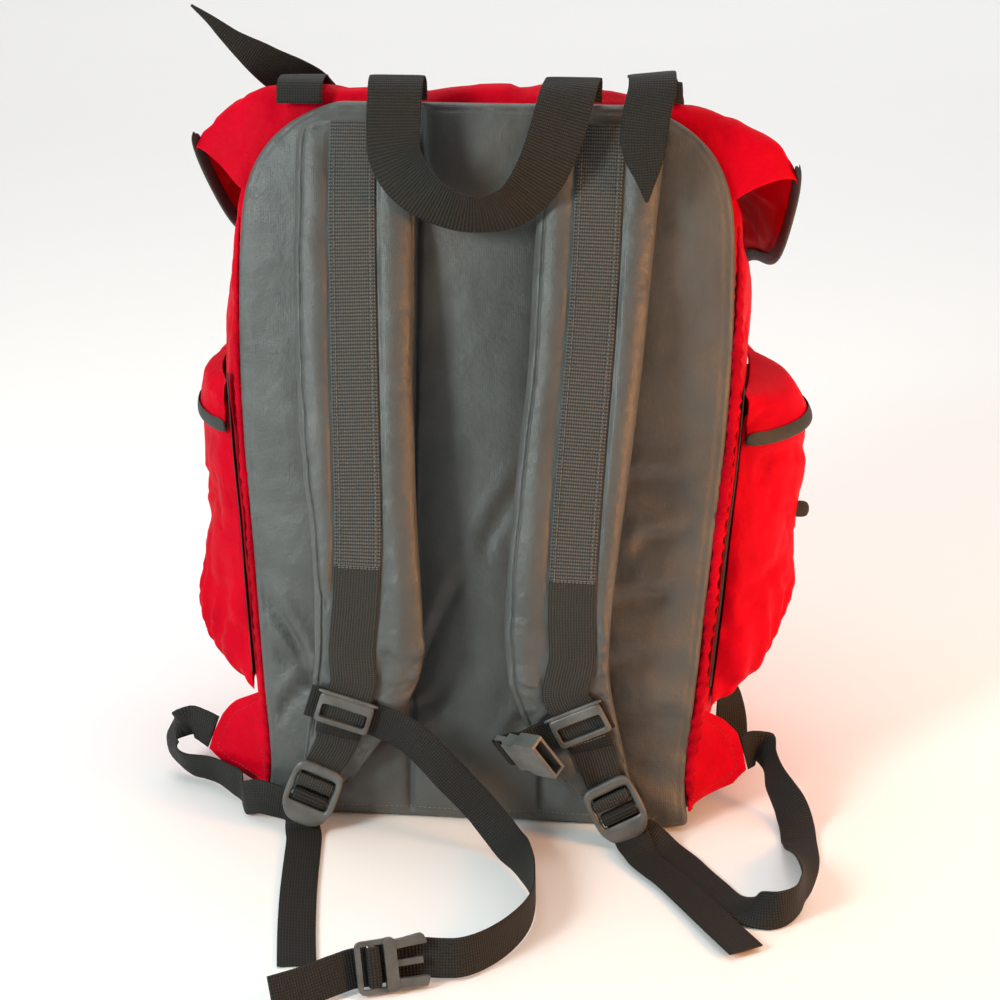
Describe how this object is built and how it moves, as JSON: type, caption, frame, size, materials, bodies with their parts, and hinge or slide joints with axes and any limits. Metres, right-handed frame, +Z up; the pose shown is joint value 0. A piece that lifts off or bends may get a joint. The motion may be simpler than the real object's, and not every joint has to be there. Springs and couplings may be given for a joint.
{
  "type": "hiking backpack",
  "caption": "Upright lidded rucksack with a padded channelled back, padded shoulder straps, side pockets and loose webbing lying on the ground in front of it.",
  "frame": {"origin": "on the underside of the base, near its middle", "axes": "+Z up, -Y towards the back panel and shoulder straps, +X to the right of someone who looks at the back panel"},
  "size_m": [0.4833, 0.5951, 0.5557],
  "materials": {
    "red_cloth": "coated pack cloth",
    "charcoal_cloth": "matt pack cloth",
    "black_cloth": "matt tape and base cloth",
    "webbing": "ribbed webbing",
    "hard_plastic": "satin"
  },
  "bodies": {
    "root": {"main_bag": "red_cloth", "base_tray": "black_cloth", "back_panel": "charcoal_cloth", "haul_loop": "webbing", "lid": "red_cloth", "lid_binding": "black_cloth", "shoulder_pad_left": "charcoal_cloth", "pad_webbing_left": "webbing", "ladder_lock_left": "hard_plastic", "slider_left": "hard_plastic", "lower_strap_left": "webbing", "corner_wing_left": "red_cloth", "side_pocket_left": "red_cloth", "pocket_flap_left": "red_cloth", "pocket_binding_left": "black_cloth", "pocket_tape_left": "black_cloth", "lid_lock_left": "hard_plastic", "lid_strap_left": "webbing", "front_strap_left": "webbing", "shoulder_pad_right": "charcoal_cloth", "pad_webbing_right": "webbing", "ladder_lock_right": "hard_plastic", "slider_right": "hard_plastic", "lower_strap_right": "webbing", "corner_wing_right": "red_cloth", "side_pocket_right": "red_cloth", "pocket_flap_right": "red_cloth", "pocket_binding_right": "black_cloth", "pocket_tape_right": "black_cloth", "lid_lock_right": "hard_plastic", "lid_strap_right": "webbing", "front_strap_right": "webbing", "pocket_tab_right": "black_cloth", "side_strap_right": "webbing", "chest_buckle_male": "hard_plastic", "chest_buckle_female": "hard_plastic", "chest_strap": "webbing", "chest_strap_short": "webbing"}
  },
  "joints": []
}
